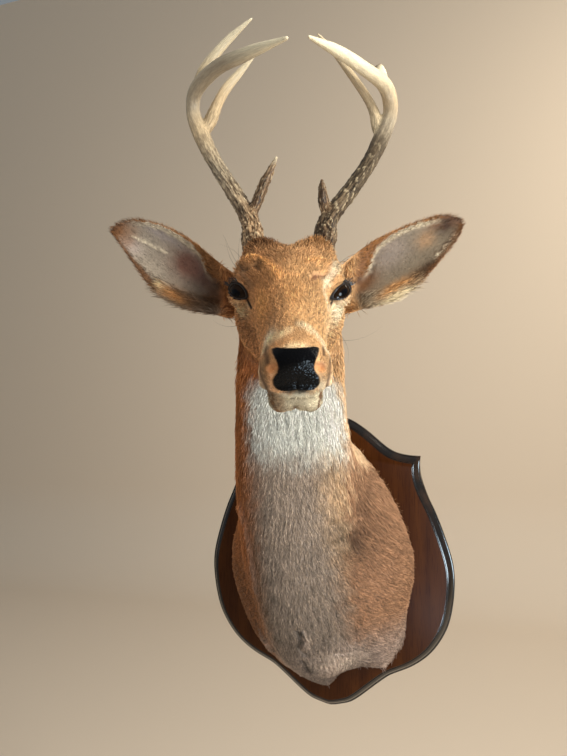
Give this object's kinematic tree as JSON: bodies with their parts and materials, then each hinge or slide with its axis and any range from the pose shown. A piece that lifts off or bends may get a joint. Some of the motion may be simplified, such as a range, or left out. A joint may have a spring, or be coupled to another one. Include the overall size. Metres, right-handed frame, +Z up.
{
  "type": "deer shoulder mount",
  "caption": "Whitetail buck shoulder mount: antlered head, spread ears, glass eyes and furred neck on a shield-shaped wall plaque.",
  "frame": {"origin": "centre of the plaque's back face, on the wall", "axes": "+Z up, +Y into the wall; the deer looks along -Y with its head turned a little to +X. Its own left side is at +X"},
  "size_m": [0.4363, 0.5248, 0.9731],
  "materials": {
    "plaque_wood": "satin",
    "coat": "short fur",
    "ear_coat": "short fur",
    "antler": "dry bone",
    "eye_glass": "gloss"
  },
  "bodies": {
    "root": {"plaque": "plaque_wood", "shoulders": "coat", "neck": "coat", "head": "coat", "eye_left": "eye_glass", "eye_right": "eye_glass", "ear_left": "ear_coat", "ear_right": "ear_coat", "antler_left_beam_lower": "antler", "antler_left_beam_upper": "antler", "antler_left_brow_tine": "antler", "antler_left_second_tine": "antler", "antler_left_third_tine": "antler", "antler_right_beam_lower": "antler", "antler_right_beam_upper": "antler", "antler_right_brow_tine": "antler", "antler_right_second_tine": "antler", "antler_right_third_tine": "antler"}
  },
  "joints": []
}
